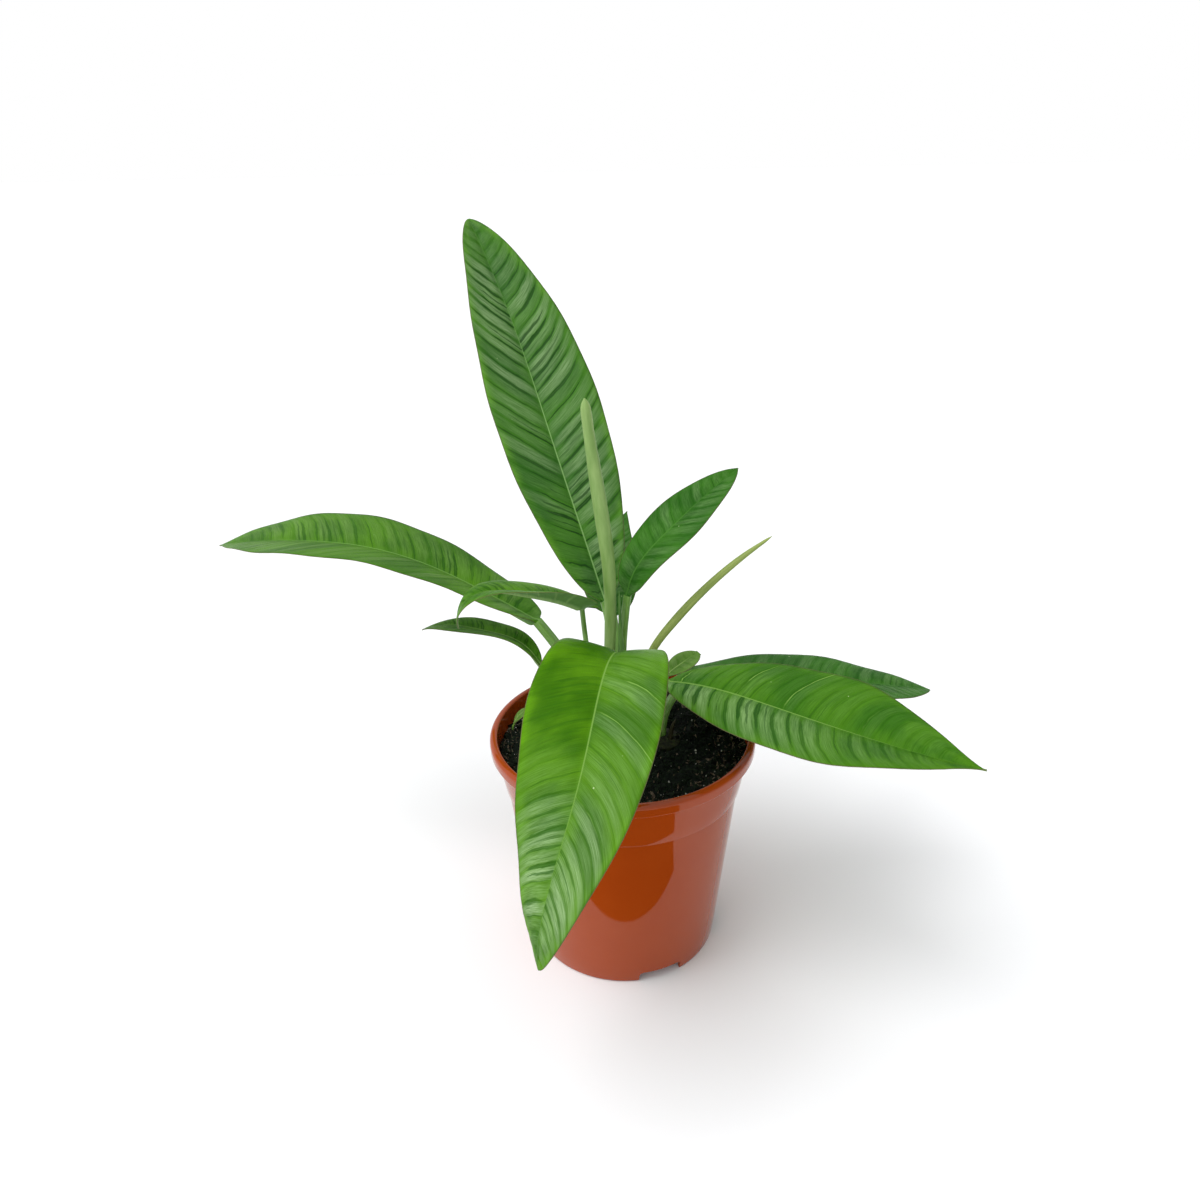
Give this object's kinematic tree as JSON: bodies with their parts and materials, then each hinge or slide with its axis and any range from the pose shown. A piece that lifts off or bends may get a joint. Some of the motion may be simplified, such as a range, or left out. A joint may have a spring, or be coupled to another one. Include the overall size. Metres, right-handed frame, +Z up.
{
  "type": "potted philodendron",
  "caption": "Potted plant: a clump of glossy, quilted, lance-shaped leaves on stalks, with rolled new leaves, in a round tapered nursery pot.",
  "frame": {"origin": "bottom centre of the bounding box, on the surface that the pot stands on", "axes": "+Z up, +X to the plant's right as the picture shows it, +Y to its back; the pot's axis is parallel to Z"},
  "size_m": [0.4232, 0.303, 0.3727],
  "materials": {
    "pot": "glossy terracotta-coloured plastic",
    "soil": "loose, matt, nearly black potting mix",
    "crown_main": "matt olive plant tissue",
    "crown_side": "matt olive plant tissue",
    "leaf_upright": "glossy green leaf",
    "leaf_behind": "glossy deep green leaf",
    "leaf_right_rear": "glossy deep green leaf",
    "leaf_left_long": "glossy green leaf",
    "leaf_left_low": "glossy green leaf",
    "leaf_left_folded": "glossy deep green leaf",
    "leaf_front": "glossy bright green leaf",
    "leaf_right_front": "glossy bright green leaf",
    "leaf_right_back": "glossy green leaf",
    "leaf_small_blunt": "glossy deep green leaf",
    "leaf_tiny": "glossy green leaf",
    "spear_centre": "satin pale green rolled leaf",
    "spear_right": "satin pale green rolled leaf",
    "bract_centre": "matt olive sheath",
    "bract_side": "matt olive sheath"
  },
  "bodies": {
    "root": {"pot": "pot", "soil": "soil", "crown_main": "crown_main", "crown_side": "crown_side", "leaf_upright": "leaf_upright", "leaf_behind": "leaf_behind", "leaf_right_rear": "leaf_right_rear", "leaf_left_long": "leaf_left_long", "leaf_left_low": "leaf_left_low", "leaf_left_folded": "leaf_left_folded", "leaf_front": "leaf_front", "leaf_right_front": "leaf_right_front", "leaf_right_back": "leaf_right_back", "leaf_small_blunt": "leaf_small_blunt", "leaf_tiny": "leaf_tiny", "spear_centre": "spear_centre", "spear_right": "spear_right", "bract_centre": "bract_centre", "bract_side": "bract_side"}
  },
  "joints": []
}
